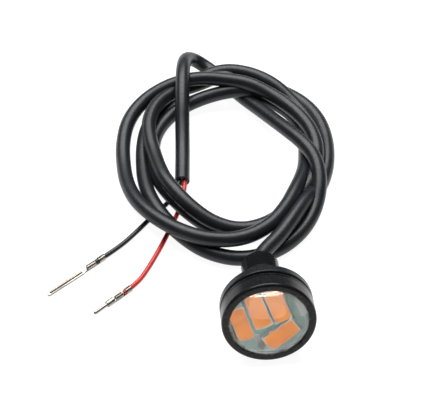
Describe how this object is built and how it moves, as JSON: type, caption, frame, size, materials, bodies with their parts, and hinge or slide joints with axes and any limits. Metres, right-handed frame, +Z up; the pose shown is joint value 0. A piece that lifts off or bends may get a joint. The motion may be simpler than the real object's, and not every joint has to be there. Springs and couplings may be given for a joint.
{
  "type": "turn signal indicator lamp",
  "caption": "Small round amber LED turn signal lamp with a domed clear lens, a rear mounting stud and a coiled black two-core cable ending in crimped bare terminals",
  "frame": {"origin": "middle of the lamp's own footprint box on the surface that it lies on, cable left out", "axes": "+Z up; -Y is the side that the lens looks to; +Y is the way the stud and the cable leave; X across the lens"},
  "size_m": [0.0809, 0.1107, 0.0241],
  "materials": {
    "housing_black": "moulded black ABS, satin",
    "bezel_black": "moulded black ABS, satin to gloss",
    "lens_clear": "clear polycarbonate moulding, polished",
    "seal_rubber": "nitrile rubber",
    "reflector_silver": "metallised plastic, uneven satin",
    "board_grey": "pale solder-masked board",
    "led_frame_white": "off-white LED package",
    "led_amber": "amber-orange LED window, unlit",
    "land_tin": "tinned copper land, uneven",
    "solder_tin": "bright tin solder",
    "chip_black": "black component body",
    "thermal_grey": "grey thermal silicone",
    "potting_black": "black potting compound",
    "jacket_black": "satin black PVC cable jacket",
    "wire_red": "red PVC wire insulation",
    "wire_black": "black PVC wire insulation",
    "terminal_tin": "tinned brass crimp terminal",
    "copper_bare": "bare stranded copper"
  },
  "bodies": {
    "root": {"housing": "housing_black", "bezel_ring": "bezel_black", "lens": "lens_clear", "lens_seal": "seal_rubber", "reflector_ring": "reflector_silver", "circuit_board": "board_grey", "led_frames": "led_frame_white", "led_windows": "led_amber", "led_pads": "solder_tin", "board_lands": "land_tin", "chip_resistors": "chip_black", "polarity_diode": "chip_black", "solder_joints": "solder_tin", "inner_wire_red": "wire_red", "inner_wire_black": "wire_black", "thermal_pad": "thermal_grey", "cable_entry": "jacket_black", "potting_plug": "potting_black", "cable_exit": "jacket_black", "cable_cross": "jacket_black", "cable_tail": "jacket_black", "cable_coil": "jacket_black", "wire_red": "wire_red", "wire_black": "wire_black", "terminal_red": "terminal_tin", "terminal_black": "terminal_tin", "strands_red": "copper_bare", "strands_black": "copper_bare"}
  },
  "joints": []
}
